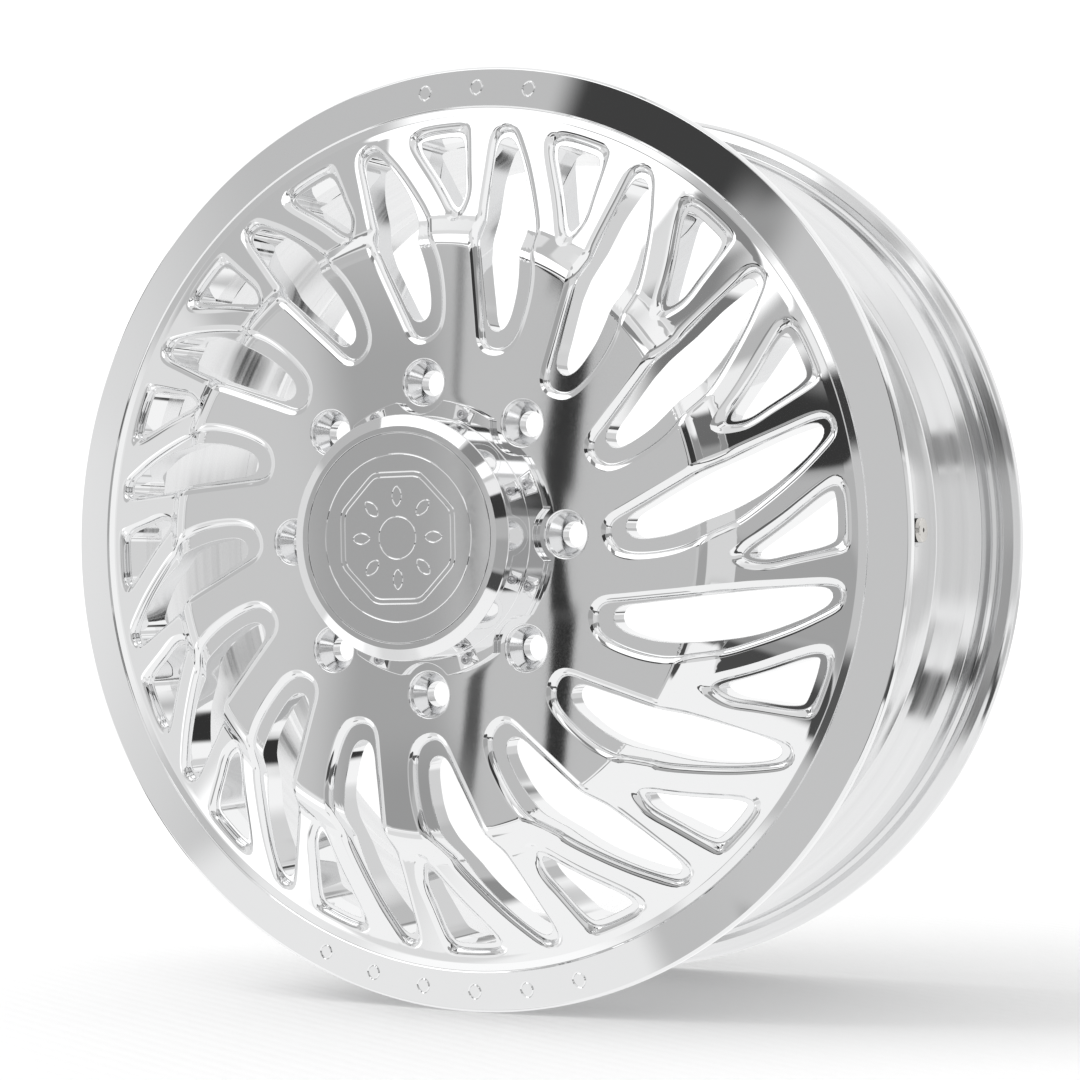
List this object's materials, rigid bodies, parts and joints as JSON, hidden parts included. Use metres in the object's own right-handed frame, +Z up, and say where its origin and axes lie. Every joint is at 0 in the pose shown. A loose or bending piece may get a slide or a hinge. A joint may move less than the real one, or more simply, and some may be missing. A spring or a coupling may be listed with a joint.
{
  "type": "forged vehicle wheel rim",
  "caption": "Polished one-piece forged wheel with swept slots and windows, a raised hub disc, a bolted centre cap and a clamp-in tyre valve.",
  "frame": {"origin": "centre of the whole object's box, on the wheel's axis of rotation", "axes": "+Y is the wheel's axis, pointing from the styled face to the back (the mounting pad faces +Y); the styled face looks towards -Y; +Z is up; lug hole 1 and the tyre valve lie on +X"},
  "size_m": [0.649, 0.327, 0.649],
  "materials": {
    "polished_aluminium": "mirror polished",
    "cap_aluminium": "mirror polished",
    "stainless_screw": "satin",
    "plated_brass": "bright nickel plated",
    "brass": "machined",
    "spring_steel": "drawn wire",
    "rubber": "matt"
  },
  "bodies": {
    "wheel": {"wheel_forging": "polished_aluminium", "valve_stem": "plated_brass", "valve_grommet": "rubber", "valve_washer": "plated_brass", "valve_nut": "plated_brass", "valve_core_sleeve": "brass", "valve_core_spring": "spring_steel"},
    "centre_cap": {"cap_can": "cap_aluminium", "cap_face_plate": "cap_aluminium"},
    "screw_1": {"cap_screw_1": "stainless_screw"},
    "screw_2": {"cap_screw_2": "stainless_screw"},
    "screw_3": {"cap_screw_3": "stainless_screw"},
    "screw_4": {"cap_screw_4": "stainless_screw"},
    "screw_5": {"cap_screw_5": "stainless_screw"},
    "screw_6": {"cap_screw_6": "stainless_screw"},
    "screw_7": {"cap_screw_7": "stainless_screw"},
    "screw_8": {"cap_screw_8": "stainless_screw"},
    "core_pin": {"valve_core_pin": "brass", "valve_core_seal": "rubber"},
    "valve_cap_thread": {"valve_cap_seal": "rubber"},
    "valve_cap": {"valve_cap": "plated_brass"}
  },
  "joints": [
    {"name": "cap_pull_off", "type": "slide", "parent": "wheel", "child": "centre_cap", "axis": [0, -1, 0], "range_m": [0, 0.06]},
    {"name": "screw_1_out", "type": "slide", "parent": "centre_cap", "child": "screw_1", "axis": [0, -1, 0], "range_m": [0, 0.014]},
    {"name": "screw_2_out", "type": "slide", "parent": "centre_cap", "child": "screw_2", "axis": [0, -1, 0], "range_m": [0, 0.014]},
    {"name": "screw_3_out", "type": "slide", "parent": "centre_cap", "child": "screw_3", "axis": [0, -1, 0], "range_m": [0, 0.014]},
    {"name": "screw_4_out", "type": "slide", "parent": "centre_cap", "child": "screw_4", "axis": [0, -1, 0], "range_m": [0, 0.014]},
    {"name": "screw_5_out", "type": "slide", "parent": "centre_cap", "child": "screw_5", "axis": [0, -1, 0], "range_m": [0, 0.014]},
    {"name": "screw_6_out", "type": "slide", "parent": "centre_cap", "child": "screw_6", "axis": [0, -1, 0], "range_m": [0, 0.014]},
    {"name": "screw_7_out", "type": "slide", "parent": "centre_cap", "child": "screw_7", "axis": [0, -1, 0], "range_m": [0, 0.014]},
    {"name": "screw_8_out", "type": "slide", "parent": "centre_cap", "child": "screw_8", "axis": [0, -1, 0], "range_m": [0, 0.014]},
    {"name": "valve_core_press", "type": "slide", "parent": "wheel", "child": "core_pin", "axis": [1, 0, 0], "range_m": [0, 0.001], "stiffness_N_per_m": 300, "springref_m": -0.001, "deforming": ["valve_core_spring"]},
    {"name": "valve_cap_travel", "type": "slide", "parent": "wheel", "child": "valve_cap_thread", "axis": [-1, 0, 0], "range_m": [0, 0.0125]},
    {"name": "valve_cap_turn", "type": "hinge", "parent": "valve_cap_thread", "child": "valve_cap", "pos_m": [0.2474, 0.05, 0], "axis": [-1, 0, 0], "range_deg": [0, 5670]}
  ],
  "couplings": [
    {"joint": "valve_cap_turn", "follows": "valve_cap_travel", "rad_per_m": 7913.3}
  ]
}
